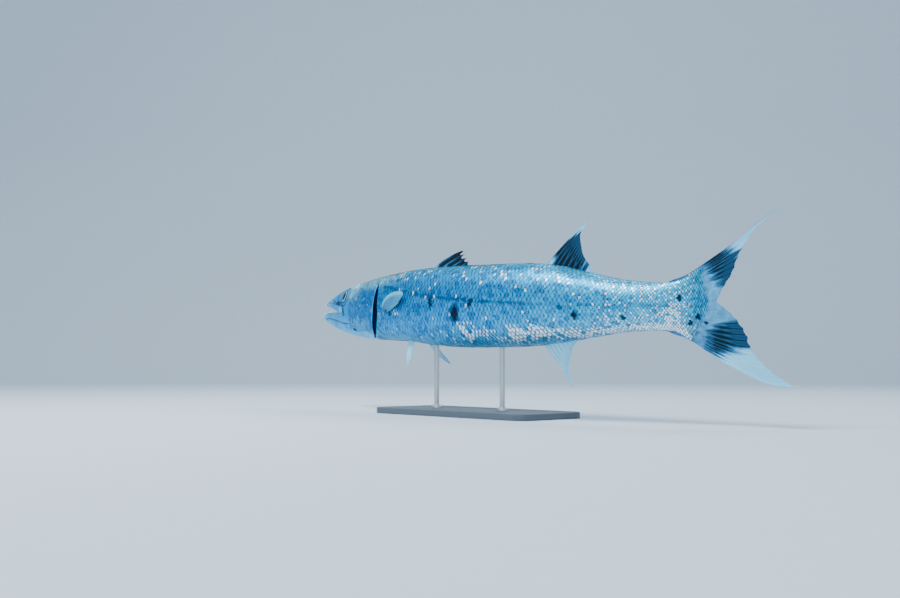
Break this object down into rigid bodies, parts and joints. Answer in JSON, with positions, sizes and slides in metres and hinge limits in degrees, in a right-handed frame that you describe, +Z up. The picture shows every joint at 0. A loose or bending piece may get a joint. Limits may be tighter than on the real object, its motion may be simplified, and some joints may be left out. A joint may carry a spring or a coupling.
{
  "type": "barracuda display model",
  "caption": "Life-size still barracuda with a long silver body, open toothed mouth and forked tail, held level above a flat base by two rods.",
  "frame": {"origin": "middle of the underside of the stand's base", "axes": "+Z up, the head points to -X and the tail to +X, the fish's left side faces -Y"},
  "size_m": [1.2393, 0.1707, 0.3576],
  "materials": {
    "skin": "silvery blue scaled fish skin with a few ink-dark blotches and mirror-bright scales low on the flank",
    "fin": "thin fin skin over bony rays, dark with pale tips",
    "eye": "wet, glossy eye with a dark pupil and a silver iris",
    "stand_plate": "slate grey satin enamel paint",
    "stand_rod": "brushed steel"
  },
  "bodies": {
    "root": {"head": "skin", "lower_jaw": "skin", "gill_cover_left": "skin", "gill_cover_right": "skin", "trunk_front": "skin", "trunk_middle": "skin", "trunk_rear": "skin", "tail_stalk": "skin", "eye_left": "eye", "eye_right": "eye", "first_dorsal_fin": "fin", "second_dorsal_fin": "fin", "anal_fin": "fin", "tail_fin_upper": "fin", "tail_fin_lower": "fin", "pectoral_fin_left": "fin", "pectoral_fin_right": "fin", "pelvic_fin_left": "fin", "pelvic_fin_right": "fin", "stand_base": "stand_plate", "stand_rod_front": "stand_rod", "stand_rod_rear": "stand_rod"}
  },
  "joints": []
}
